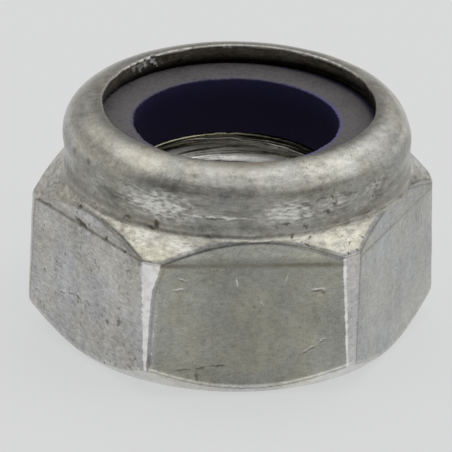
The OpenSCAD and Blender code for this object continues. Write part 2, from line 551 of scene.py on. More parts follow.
def chip_depth(angle):
    """Depth of the chatter marks around the lip's inner edge."""
    turn = angle % 360.0
    begun = ramp(CHIPS_FROM, CHIPS_FROM + 4.0, turn)
    window = begun * (1.0 - ramp(CHIPS_TO - 3.0, CHIPS_TO, turn))
    window = window * (0.65 + 0.35 * np.sin(turn * 1.3))
    beat = turn / CHIP_ANGLE + 0.3 * np.sin(np.radians(turn * 9.0))
    return CHIP_DEPTH * window * np.abs(np.sin(np.pi * beat))


def collar_rings():
    """The collar with its uneven wall, lip edge and chatter marks."""
    angle = column_angles(half_band_at(high_corner_z))
    rings = []
    for zone, r, z in collar_section():
        points = ring_points(angle, r, z)
        radius = np.full(len(angle), r)
        if zone in ("wall", "lip"):
            calm = ramp(foot_z, foot_z + 0.6, z)
            dip = np.clip(0.6 + ripple(points, 3.5, COLLAR_SEED), 0.0, 2.0)
            radius = radius - COLLAR_UNEVEN * calm * dip
        if zone in ("lip", "lip_face"):
            near_edge = 1.0 if zone == "lip_face" else 1.0 - ramp(opening_r + 0.2, opening_r + 0.8, r)
            fade = ramp(insert_top, overall_h - 0.5, z)
            radius = radius + near_edge * LIP_OVAL * np.cos(np.radians(angle - FAR_ANGLE)) ** 2
            radius = radius + near_edge * (LIP_EDGE_UNEVEN * ripple(points * (1.0, 1.0, 0.2), 1.6, LIP_SEED))
            radius = radius + near_edge * fade * chip_depth(angle)
        shift = groove_drift(z) if zone == "groove" else drift(z) + edge_drift(zone, r)
        rings.append((zone, ring_points(angle, radius, z) + shift))
    return rings


def thread_form():
    """One pitch of the internal thread from a crest's upper edge down: drop, radius and wear.

    The upper edge of the crest is rounded, as a tap leaves it.
    """
    crest = PITCH / 4.0
    flank = 5.0 / 16.0 * PITCH
    root = PITCH / 8.0
    corners = np.cumsum([0.0, crest, flank, root, flank])
    drops = np.concatenate(
        [
            (0.0, 0.05, 0.11, 0.19),
            (crest - 0.08, crest, crest + 0.08),
            np.linspace(crest, corners[2], 4)[1:-1],
            np.linspace(corners[2], corners[3], 3)[:-1],
            np.linspace(corners[3], corners[4] - 0.3, 4)[:-1],
            corners[4] - np.array((0.3, 0.22, 0.15, 0.09, 0.04)),
        ]
    )
    radii = np.interp(drops, corners, [minor_r, minor_r, major_r, major_r, minor_r])
    from_edge = np.where(drops < PITCH / 2.0, -drops, PITCH - drops)
    rise = minor_r + from_edge * thread_depth / flank
    rounded = -smooth_min(-minor_r, -rise, CREST_ROUND)
    radii = np.where(np.abs(from_edge) < 0.35, rounded, radii)
    worn = np.maximum(0.6 * bell(from_edge - 0.42, 0.38), 0.8 * bell(drops - crest, 0.07))
    return drops, radii, worn


def thread_rings(angle):
    """The threaded wall below the seat: the ring at the seat, and rings that follow the helix down."""
    drops, radii, worn = thread_form()
    climb = PITCH * (angle - FAR_ANGLE) / 360.0 - THREAD_DROP
    turns = math.ceil((seat_z + 2.0 * PITCH) / PITCH) + 1
    top_z = seat_z - SEAT_EDGE
    top_drop = (climb + PITCH + SEAT_EDGE) % PITCH
    top_radius = np.interp(top_drop, np.append(drops, PITCH), np.append(radii, minor_r))
    seat_ring = ring_points(angle, top_radius + SEAT_EDGE, seat_z)
    rings = []
    for turn in range(turns):
        for drop, r in zip(drops, radii):
            z = seat_z + PITCH + climb - turn * PITCH - drop
            cone = mouth_r - z
            wave = CREST_UNEVEN * ripple(ring_points(angle, r, z), 1.3, THREAD_SEED)
            radius = np.where(z > top_z, top_radius, np.maximum(r + 0.5 * wave, cone))
            radius = np.where(z < 0.0, mouth_r, radius)
            rings.append(ring_points(angle, radius, np.clip(z + wave, 0.0, top_z)))
    return seat_ring, rings, np.tile(worn, turns), len(drops)


class RingMesh:
    """Vertices and faces of a skin made of rings."""

    def __init__(self):
        self.points = []
        self.faces = []
        self.count = 0

    def add(self, points):
        """Adds one ring and gives the numbers of its vertices."""
        self.points.append(points)
        self.count += len(points)
        return np.arange(self.count - len(points), self.count)

    def bridge(self, first, second, seam=None):
        """Joins two rings of the same length, the last column to the seam's two vertices."""
        ends = seam or (first[0], second[0])
        first_next = np.append(first[1:], ends[0])
        second_next = np.append(second[1:], ends[1])
        self.faces += np.stack([first, first_next, second_next, second], axis=1).tolist()

    def bridge_half(self, full, half):
        """Joins a ring to one with half as many columns."""
        middle = full[1::2]
        start = full[0::2]
        end = np.roll(start, -1)
        half_next = np.roll(half, -1)
        for triangle in ((start, middle, half), (middle, end, half_next), (middle, half_next, half)):
            self.faces += np.stack(triangle, axis=1).tolist()

    def build(self, name, finish=None):
        """Makes the Blender object, with equal vertices merged and normals outward."""
        points = np.concatenate(self.points)
        mesh = bpy.data.meshes.new(name)
        mesh.from_pydata((points * MM).tolist(), [], self.faces)
        for layer, values in (finish or {}).items():
            kind = "FLOAT_COLOR" if values.ndim == 2 else "FLOAT"
            field = "color" if values.ndim == 2 else "value"
            data = mesh.attributes.new(layer, kind, "POINT").data
            data.foreach_set(field, values.astype(np.float32).ravel())
        work = bmesh.new()
        work.from_mesh(mesh)
        bmesh.ops.remove_doubles(work, verts=work.verts, dist=MERGE * MM)
        bmesh.ops.dissolve_degenerate(work, edges=work.edges, dist=MERGE * MM)
        bmesh.ops.recalc_face_normals(work, faces=work.faces)
        work.to_mesh(mesh)
        work.free()
        mesh.shade_smooth()
        mesh.set_sharp_from_angle(angle=math.radians(SHARP_ANGLE))
        piece = bpy.data.objects.new(name, mesh)
        bpy.context.collection.objects.link(piece)
        return piece


def bell(distance, width):
    """1 at no distance, falling to nearly 0 at twice the width."""
    return np.exp(-((distance / width) ** 2))


def arc_band(angle):
    """How far the darker band along an arc reaches up the chamfer and down the flat, and its strength:
    painted shade of the rounded edge.
    """
    across = (angle % SIDE - SIDE / 2.0) / (SIDE / 2.0)
    up = 0.03 + 0.17 * ramp(0.05, 0.4, -across) + 0.1 * ramp(0.25, 0.6, across)
    down = 0.08 + 0.15 * ramp(0.2, 0.6, across)
    on_left = (angle % 360.0 // SIDE).astype(int) == LEFT
    return up, down, np.where(on_left, ramp(-0.5, 0.1, across), 1.0)


def band_finish(angle, z):
    """Tone share, wear with a painted highlight line, and a painted shadow line of the corner bands: most
    wear on the two that face the camera.
    """
    nearest = np.round(angle / SIDE).astype(int) % 6
    front = nearest == FRONT
    across = ((angle + SIDE / 2.0) % SIDE - SIDE / 2.0) / half_band_at(z)
    up = (z - low_corner_z) / (high_corner_z - low_corner_z)
    limit = -0.42 + 0.6 * np.clip(up / 0.68, 0.0, 1.0) + 0.8 * ramp(0.68, 1.0, up)
    core = ramp(-1.4, -0.6, across) * (1.0 - ramp(limit - 0.12, limit + 0.15, across))
    edge = bell(across + 0.92, 0.2)
    lower_half = ramp(0.05, 0.2, up) * (1.0 - ramp(0.5, 0.75, up))
    # a light line beside the band on the front: a painted highlight
    seam = 0.45 * bell(across - limit - 0.8, 0.13) * lower_half
    band = 1.0 - ramp(0.8, 1.1, np.abs(across))
    worn = np.where(nearest == FRONT + 1, edge, 0.3 * band + 0.4 * edge)
    worn = np.where(front, np.maximum(core, seam), worn)
    worn = worn * ramp(low_corner_z - 0.1, low_corner_z + 0.15, z)
    worn = worn * (1.0 - ramp(high_corner_z - 0.1, high_corner_z + 0.1, z))
    shadow = np.where(front, 0.5 * bell(across - limit - 0.38, 0.17), 0.6 * bell(across - 1.05, 0.2))
    tone = np.where((nearest == FRONT + 1)[:, None], MAUVE, GREY)
    return band, tone, worn, shadow


def flat_finish(points):
    """The finish of the hexagon's sides, with painted light and shade on the front flat, along the arcs and
    at the crease.
    """
    angle = around(points)
    z = points[:, 2]
    across = np.hypot(points[:, 0], points[:, 1]) * np.sin(off_middle(angle))
    side = (angle // SIDE).astype(int)
    band, band_tone, worn, dirt = band_finish(angle, z)
    below = top_line(angle) - z
    crease = z - CREASE_Z - np.array(CREASE_DARK_RISE)[side] - CREASE_DARK_SLOPE * across * (side == FRONT)
    strength = np.array(CREASE_DIRT_AND_SHADE)[side]
    _, reach, strong = arc_band(angle)
    # a darker line just under the band along the arc: painted shade
    line = 0.7 * strong * bell(below - reach, 0.09) * (1.0 - band)
    # the front flat's tone is lighter toward its two sides and above the crease: painted light
    rubbed_and_lit = 1.0 + 0.25 * (1.0 - ramp(-5.5, -1.5, across)) * (side == FRONT)
    rubbed_and_lit = rubbed_and_lit + 0.15 * ramp(2.5, 5.0, across) * (side == FRONT)
    rubbed_and_lit = rubbed_and_lit + 0.35 * ramp(0.25, 0.7, crease) * (side == FRONT)
    tone = np.array(FLAT_TONES)[side] * rubbed_and_lit[:, None]
    tone = toward(tone, band_tone, band)
    tone = toward(tone, 0.8 * BEVEL_SHADE, line)
    # a pale line just above the lower edge, strongest on the front flat: a painted highlight
    rim = bell(z - base_line(angle) - 0.22, 0.09) * np.where(side == FRONT, 1.0, 0.35)
    tone = toward(tone, PALE_HIGHLIGHT, rim)
    strength = strength * (1.0 - band)
    spread_out = np.where(side == FRONT, 0.2, 0.14)
    dirt = np.maximum(dirt, strength * bell(crease, spread_out))
    dirt = np.maximum(dirt, 0.3 * strength * bell(crease - 0.32, 0.22))
    # a light line just under the crease on the left flat: a painted highlight
    worn = np.maximum(worn, 0.55 * bell(crease + 0.3, 0.08) * (side == LEFT) * (1.0 - band))
    return {"tone": tone, "worn": worn, "dirt": dirt, "pepper": np.where(side == LEFT, 0.6, 0.35)}


def collar_scuffing(points):
    """How scuffed the collar and the upper chamfer are: a little all over, more on the patches."""
    angle = around(points)
    share = np.full(len(points), BASE_SCUFF)
    for scuff in SCUFFS:
        away = (angle - scuff.angle + 180.0) % 360.0 - 180.0
        patch = bell(away, scuff.half_angle) * bell(points[:, 2] - scuff.height, scuff.half_height)
        share = np.maximum(share, BASE_SCUFF + (1.0 - BASE_SCUFF) * scuff.strength * patch)
    return share


def chamfer_finish(points):
    """The finish of the upper chamfer, lighter on the left as painted light and darker in the middle of the
    front.
    """
    angle = around(points)
    above = points[:, 2] - top_line(angle)
    # lighter on the left side as painted light, and darker in the middle of the front
    left = 1.24 - 0.34 * ramp(-0.3, 0.3, np.sin(np.radians(angle - NEAR_ANGLE)))
    middle = bell(angle - NEAR_ANGLE - 3.0, 9.0)
    reach, _, strong = arc_band(angle)
    # the band along the arc takes the darker grey as painted shade
    band = 0.9 * strong * (1.0 - ramp(reach - 0.03, reach + 0.04, above))
    tone = CREAM * (left - 0.4 * middle)[:, None]
    tone = toward(tone, BEVEL_SHADE, band)
    # a dark line along the band's upper edge is painted shade; the faint dark at the foot is dirt
    dirt = np.maximum(0.4 * strong * bell(above - reach, 0.045), 0.1 * bell(points[:, 2] - foot_z, 0.25))
    return {"tone": tone, "scuff": collar_scuffing(points), "dirt": dirt, "pepper": 0.9, "rolled": 0.4}


def wall_finish(points):
    """The finish of the neck and the collar's wall, with more specks on the right."""
    angle = around(points)
    z = points[:, 2]
    share = ramp(foot_z + 0.1, fillet_z + 0.3, z)
    middle = bell(angle - NEAR_ANGLE - 6.0, 14.0)
    dirt = (0.5 - 0.4 * middle) * bell(z - fillet_z - 0.1, 0.3)
    dirt = np.maximum(dirt, 0.75 * bell(angle - NECK_STAIN_ANGLE, 14.0) * bell(z - fillet_z - 0.2, 0.8))
    pepper = 0.5 + 0.6 * bell(angle - SPECKLED_ANGLE, 14.0)
    # a lighter tone at the front, just above the foot: painted light
    corner = bell(angle - NEAR_ANGLE + 2.0, 18.0) * bell(z - foot_z - 0.12, 0.2)
    tone = toward(CREAM, FILM_AND_SHADE, share) * (1.0 + 0.45 * corner)[:, None]
    return {"tone": tone, "scuff": collar_scuffing(points), "dirt": dirt, "pepper": pepper, "rolled": 1.0}


def lip_finish(points):
    """The finish of the rolled lip: a painted highlight along its far inner edge, at the near one a
    darkening that is partly a stain and partly painted shade, and on the near side a painted highlight band
    and a painted dark reflection.
    """
    angle = around(points)
    share = ramp(bend_z, bend_z + 1.2, points[:, 2])
    middle = drift(overall_h) + edge_drift("lip", opening_r)
    oval = LIP_OVAL * np.cos(np.radians(angle - FAR_ANGLE)) ** 2
    reach = np.hypot(points[:, 0] - middle[0], points[:, 1] - middle[1]) - opening_r - oval
    near = ramp(-0.3, 0.5, np.cos(np.radians(angle - NEAR_ANGLE)))
    chipped = 0.7 * chip_depth(angle) / CHIP_DEPTH * (1.0 - ramp(0.1, 0.45, reach))
    far = ramp(0.2, 0.6, np.cos(np.radians(angle - FAR_ANGLE)))
    # chips, and a bright line along the inner edge on the far side only: a painted highlight
    worn = np.maximum(chipped, 0.55 * far * bell(reach - 0.06, 0.1))
    # darker toward the inner edge, most on the near side: painted shade; a lighter band on the near side:
    # painted highlight
    film_and_light = 1.0 - (0.33 + 0.17 * near) * (1.0 - ramp(0.0, 1.4, reach))
    film_and_light = film_and_light + 0.3 * near * bell(points[:, 2] - bend_z - 1.1, 0.4)
    # darker at the inner edge: partly dirt, partly painted shade
    dirt = 0.4 * (1.0 - ramp(0.1, 0.7, reach))
    # a dark patch on the near left: a painted dark reflection
    film_and_light = film_and_light - 0.5 * bell(angle - DARK_REFLECTION_ANGLE, 10.0) * bell(points[:, 2] - DARK_REFLECTION_Z, 0.45)
    # brown darkening at the near inner edge: partly a stain, partly painted shade
    stain_and_shade = 0.95 * bell(angle - LIP_STAIN_AND_SHADE_ANGLE, 16.0) * (1.0 - ramp(0.1, 1.5, reach))
    return {
        "tone": toward(FILM_AND_SHADE, LIP, share) * film_and_light[:, None],
        "scuff": collar_scuffing(points),
        "worn": worn,
        "dirt": np.maximum(dirt, stain_and_shade),
        "pepper": 0.45,
        "rolled": 0.5,
    }


def lip_face_finish(points):
    """The finish of the lip's inner face: painted shade that darkens it toward the ring, and chips at its
    upper edge.
    """
    angle = around(points)
    above = points[:, 2] - insert_top
    share = ramp(0.0, 1.2, above)
    slanted = angle + CHIP_SLANT * (overall_h - points[:, 2])
    start = 0.35 + 0.25 * np.sin(np.radians(slanted * 115.0))
    chipped = 0.85 * np.cbrt(chip_depth(slanted) / CHIP_DEPTH) * ramp(start, start + 0.3, share)
    # painted shade: brown at the top, darkening to shaded and near black toward the ring
    tone = toward(SHADED, BROWN, share)
    tone = toward(SHADOW_BLACK, tone, ramp(0.1, 0.7, above))
    return {"tone": tone, "worn": chipped, "rolled": chipped, "pepper": 1.0}


def thread_finish(points):
    """The finish of the thread: a bright edge at the seat, painted shadow under it that reaches farther down
    on the right, and a lighter tone lower down as painted light.
    """
    angle = around(points)
    drop = seat_z - points[:, 2]
    depth = (np.hypot(points[:, 0], points[:, 1]) - minor_r) / thread_depth
    right = ramp(0.05, 0.6, np.sin(np.radians(FAR_ANGLE - angle)))
    # painted shadow under the nylon ring, reaching farther down on the right
    shadowed = ramp(SEAT_EDGE + 0.01, SEAT_EDGE + 0.06, drop)
    shadowed = shadowed * (1.0 - ramp(0.4 + 0.5 * right, 0.52 + 0.9 * right, drop))
    shadowed = np.maximum(shadowed, right * (drop < SEAT_EDGE + 0.06))
    # painted light: a lighter tone and white flanks lower down the thread
    lit = ramp(1.05, 1.75, drop)
    tone = toward(THREAD, LIT_STEEL, lit)
    tone = toward(tone, SHADOW_BLACK, 0.9 * shadowed)
    # darker toward the roots: painted shade
    dirt = 0.5 * np.clip(depth, 0.0, 1.0) ** 4 * (1.0 - shadowed)
    lined = 1.0 - 0.75 * ramp(1.7, 2.8, drop)
    return {"tone": tone, "worn": 0.5 * lit * lined, "dirt": dirt, "lined": lined, "pepper": 0.6}


def steel_finish(zone, points):
    """The finish of one ring of the steel skin, by its zone."""
    # the lower chamfer takes the lighter tone as painted light
    if zone == "base":
        return {"tone": LIT_STEEL, "pepper": 0.3}
    if zone == "groove":
        return {"tone": SHADED}
    makers = {
        "flat": flat_finish,
        "chamfer": chamfer_finish,
        "wall": wall_finish,
        "lip": lip_finish,
        "lip_face": lip_face_finish,
        "thread": thread_finish,
    }
    return makers[zone](points)


def full_finish(zone, points):
    """The finish of one ring as layers with a row for each vertex; the tone's fourth value is scuffing."""
    count = len(points)
    given = {**PLAIN_FINISH, **steel_finish(zone, points)}
    tone = np.broadcast_to(given.pop("tone"), (count, 3))
    scuff = np.broadcast_to(given.pop("scuff"), count)
    layers = {name: np.broadcast_to(value, count) for name, value in given.items()}
    return {"tone": np.column_stack([tone, scuff]), **layers}


def make_body():
    """The steel piece as one closed skin."""
    skin = RingMesh()
    finishes = []
    outside = []
    for zone, points in [*bearing_rings(), *hexagon_rings(), *collar_rings()]:
        outside.append(skin.add(points))
        finishes.append(full_finish(zone, points))
    for low, high in zip(outside, outside[1:]):
        skin.bridge(low, high)
    inner_angle = column_angles(half_band_at(high_corner_z))[::2] % 360.0
    shift = int(np.argmin(inner_angle))
    inner_angle = np.roll(inner_angle, -shift)
    seat_ring, rings, wear, per_pitch = thread_rings(inner_angle)
    seat = skin.add(seat_ring)
    finishes.append(full_finish("thread", seat_ring))
    inside = []
    for points, share in zip(rings, wear):
        inside.append(skin.add(points))
        finish = full_finish("thread", points)
        finish["worn"] = np.maximum(finish["worn"], share * ramp(0.3, 0.5, seat_z - points[:, 2]))
        finishes.append(finish)
    for row, (high, low) in enumerate(zip(inside, inside[1:])):
        above = inside[max(row - per_pitch, 0)][0]
        below = inside[max(row + 1 - per_pitch, 0)][0]
        skin.bridge(high, low, (above, below))
    skin.bridge(seat, inside[0])
    skin.bridge_half(np.roll(outside[-1], -2 * shift), seat)
    skin.bridge_half(np.roll(outside[0], -2 * shift), inside[-1])
    layers = {name: np.concatenate([finish[name] for finish in finishes]) for name in finishes[0]}
    return skin.build("nut_body_skin", layers)


def ring_section():
    """Half section of the nylon ring, a closed loop from the foot of its hole."""
    hole = [(INSERT_BORE_R, z) for z in np.linspace(seat_z, insert_top - RING_EDGE, 12)]
    edge = bezier(hole[-1], (INSERT_BORE_R, insert_top), (INSERT_BORE_R + RING_EDGE, insert_top), 5)[1:]
    top = [(r, insert_top) for r in np.linspace(INSERT_BORE_R + RING_EDGE, bend_x, 20)[1:]]
    bend = arc(bend_x, bend_z, BEND_R, 90.0, 0.0, 6)[1:]
    wall = [(groove_r, seat_z)]
    return np.array([*hole, *edge, *top, *bend, *wall])


def make_ring():
    """The nylon ring with the slightly ragged edge that the moulding and rolling leave."""
    skin = RingMesh()
    angle = np.arange(0.0, 360.0, RING_STEP)
    section = ring_section()
    rings = []
    for r, z in section:
        points = ring_points(angle, r, z)
        ragged = NYLON_UNEVEN * ramp(insert_top - 0.5, insert_top - 0.05, z)
        ragged = ragged * (1.0 - ramp(INSERT_BORE_R + 0.15, INSERT_BORE_R + 0.5, r))
        wave = 0.5 * ripple(points, 1.2, RING_SEED) + 0.5 * ripple(points, 0.4, RING_SEED + 1)
        radius = r + ragged * wave
        rings.append(skin.add(ring_points(angle, radius, z) + groove_drift(z)))
    for low, high in zip(rings, rings[1:] + rings[:1]):
        skin.bridge(low, high)
    section_r = np.repeat(section[:, 0], len(angle))
    section_z = np.repeat(section[:, 1], len(angle))
    on_top = section_z > insert_top - 0.1
    turn = np.radians(np.tile(angle, len(rings)) - CAMERA_AZIMUTH)
    # dust on the top face, partly a painted sheen, giving way to the dark nylon near the lip as a painted
    # shadow
    dusty = ramp(INSERT_BORE_R, INSERT_BORE_R + 0.2, section_r) * on_top
    # a painted glow at the top of the hole
    painted_glow = 0.16 * bell(section_z - insert_top, 0.9) * (section_r < INSERT_BORE_R + 0.05)
    # width of the painted shadow under the lip, wider on the right
    gap = 0.16 + 0.15 * ramp(0.3, 1.0, np.cos(turn - math.radians(30.0)))
    edge = opening_r + LIP_UNDERCUT + LIP_OVAL * np.sin(turn) ** 2
    dusty = dusty * (1.0 - ramp(edge - 2.0 * gap, edge - 0.2 * gap, section_r))
    # a painted highlight along the hole's edge, strongest toward the right
    facing = 0.25 + 0.75 * ramp(-0.1, 0.8, np.cos(turn + math.radians(20.0)))
    rim = bell(section_r - INSERT_BORE_R - RING_EDGE, 0.13) * on_top * facing
    return skin.build("nylon_ring_skin", {"dusty": dusty, "rim": np.maximum(rim, painted_glow)})


def feed(tree, socket, value):
    """Sets a socket to a value, or links it to another socket."""
    if isinstance(value, bpy.types.NodeSocket):
        tree.links.new(value, socket)
    else:
        socket.default_value = value


def add_node(tree, kind, settings=None, **inputs):
    """Adds a node: settings are its own properties, inputs its sockets as values or links."""
    made = tree.nodes.new(kind)
    for name, value in (settings or {}).items():
        setattr(made, name, value)
    for name, value in inputs.items():
        feed(tree, made.inputs[name.replace("_", " ")], value)
    return made


def new_material(name):
    """A material with an empty tree but for its shader, and that shader."""
    material = bpy.data.materials.new(name)
    material.use_nodes = True
    return material, material.node_tree, material.node_tree.nodes["Principled BSDF"]


def mix_colour(tree, factor, first, second, blend="MIX"):
    """Mixes two colours, each a value or a link, and gives the result's socket."""
    made = tree.nodes.new("ShaderNodeMix")
    made.data_type = "RGBA"
    made.blend_type = blend
    for socket, value in zip(COLOUR_MIX_INPUTS, (factor, first, second)):
        feed(tree, made.inputs[socket], value)
    return made.outputs[COLOUR_MIX_RESULT]


def calculate(tree, operation, first, second=0.0):
    """One step of arithmetic on values or links."""
    made = tree.nodes.new("ShaderNodeMath")
    made.operation = operation
    for socket, value in zip(made.inputs, (first, second)):
        feed(tree, socket, value)
    return made.outputs[0]


def product(tree, first, second):
    """The product of two values or links."""
    return calculate(tree, "MULTIPLY", first, second)


def spread(tree, value, low, high, to_low=0.0, to_high=1.0):
    """Maps a range of values to another with soft ends."""
    ends = {"From_Min": low, "From_Max": high, "To_Min": to_low, "To_Max": to_high}
    made = add_node(tree, "ShaderNodeMapRange", {"interpolation_type": "SMOOTHSTEP"}, Value=value, **ends)
    return made.outputs["Result"]


def grain(tree, per_mm, detail=3.0, stretch=(1.0, 1.0, 1.0), offset=0.0):
    """Noise in the nut's own space, with features counted per millimetre."""
    place = add_node(tree, "ShaderNodeTexCoord").outputs["Object"]
    scale = [per_mm / MM * s for s in stretch]
    scaled = add_node(tree, "ShaderNodeMapping", Vector=place, Scale=scale, Location=[offset] * 3)
    noise = add_node(tree, "ShaderNodeTexNoise", Vector=scaled.outputs["Vector"], Scale=1.0, Detail=detail)
    return noise.outputs["Fac"]


def layer(tree, name):
    """A value that the mesh carries at its vertices."""
    return add_node(tree, "ShaderNodeAttribute", {"attribute_name": name})


def weigh(tree, value, weight):
    """Noise around 0.5 as a share around 0, times a weight."""
    return product(tree, calculate(tree, "SUBTRACT", value, 0.5), weight)


def total(tree, *values):
    """The sum of several values or links."""
    result = values[0]
    for value in values[1:]:
        result = calculate(tree, "ADD", result, value)
    return result


def scratches(tree, length, width, turn):
    """Sparse straight scratches of a length and width in millimetres, along a turned axis."""
    place = add_node(tree, "ShaderNodeTexCoord").outputs["Object"]
    turned = add_node(tree, "ShaderNodeMapping", {"vector_type": "TEXTURE"}, Vector=place)
    feed(tree, turned.inputs["Rotation"], [math.radians(a) for a in turn])
    feed(tree, turned.inputs["Scale"], (width * MM, width * MM, length * MM))
    noise = add_node(tree, "ShaderNodeTexNoise", Vector=turned.outputs["Vector"], Scale=1.0, Detail=1.0)
    return spread(tree, noise.outputs["Fac"], 0.66, 0.74)


def stroke(tree, place, angle, radius, across, height, mark):
    """How much of a mark lies at each place, on the side that faces an angle."""
    turn = math.radians(angle)
    tilt = math.radians(mark.tilt)
    local = add_node(tree, "ShaderNodeMapping", {"vector_type": "TEXTURE"}, Vector=place)
    outward = ring_points(np.array([angle]), radius, height)[0]
    sideways = ring_points(np.array([angle + 90.0]), 1.0, 0.0)[0]
    local.inputs["Location"].default_value = (outward + across * sideways) * MM
    local.inputs["Rotation"].default_value = (0.0, -tilt, turn + math.pi / 2.0)
    local.inputs["Scale"].default_value = (mark.length * MM, MM, mark.width * MM)
    away = add_node(tree, "ShaderNodeVectorMath", {"operation": "LENGTH"})
    tree.links.new(local.outputs["Vector"], away.inputs[0])
    return spread(tree, away.outputs["Value"], 0.5, 1.5, 1.0, 0.0)


def strokes(tree, place):
    """The dark deposits of all marks and spots, and the bright metal pushed up beside the marks."""
    dark = 0.0
    light = 0.0
    for mark in MARKS:
        angle = (mark.side + 0.5) * SIDE
        share = stroke(tree, place, angle, flat_r, mark.across, mark.height, mark)
        dark = calculate(tree, "MAXIMUM", dark, product(tree, share, mark.dark))
        if mark.light:
            rise = 1.6 * min(mark.width, mark.length)
            share = stroke(tree, place, angle, flat_r, mark.across, mark.height + rise, mark)
            light = calculate(tree, "MAXIMUM", light, product(tree, share, mark.light))
    for spot in SPOTS:
        share = stroke(tree, place, spot.angle, spot.radius, 0.0, spot.height, spot)
        dark = calculate(tree, "MAXIMUM", dark, product(tree, share, spot.dark))
    return dark, light


def jostled(tree, reach):
    """The nut's own space, unsettled by fine noise, so that what is drawn in it has ragged edges."""
    place = add_node(tree, "ShaderNodeTexCoord").outputs["Object"]
    scaled = add_node(tree, "ShaderNodeMapping", Vector=place, Scale=[3.5 / MM] * 3)
    noise = add_node(tree, "ShaderNodeTexNoise", Vector=scaled.outputs["Vector"], Scale=1.0, Detail=4.0)
    moved = add_node(tree, "ShaderNodeVectorMath", {"operation": "MULTIPLY_ADD"})
    tree.links.new(noise.outputs["Color"], moved.inputs[0])
    moved.inputs[1].default_value = [reach * MM] * 3
    tree.links.new(place, moved.inputs[2])
    back = add_node(tree, "ShaderNodeVectorMath", {"operation": "SUBTRACT"})
    tree.links.new(moved.outputs["Vector"], back.inputs[0])
    back.inputs[1].default_value = [reach * MM / 2.0] * 3
    return back.outputs["Vector"]


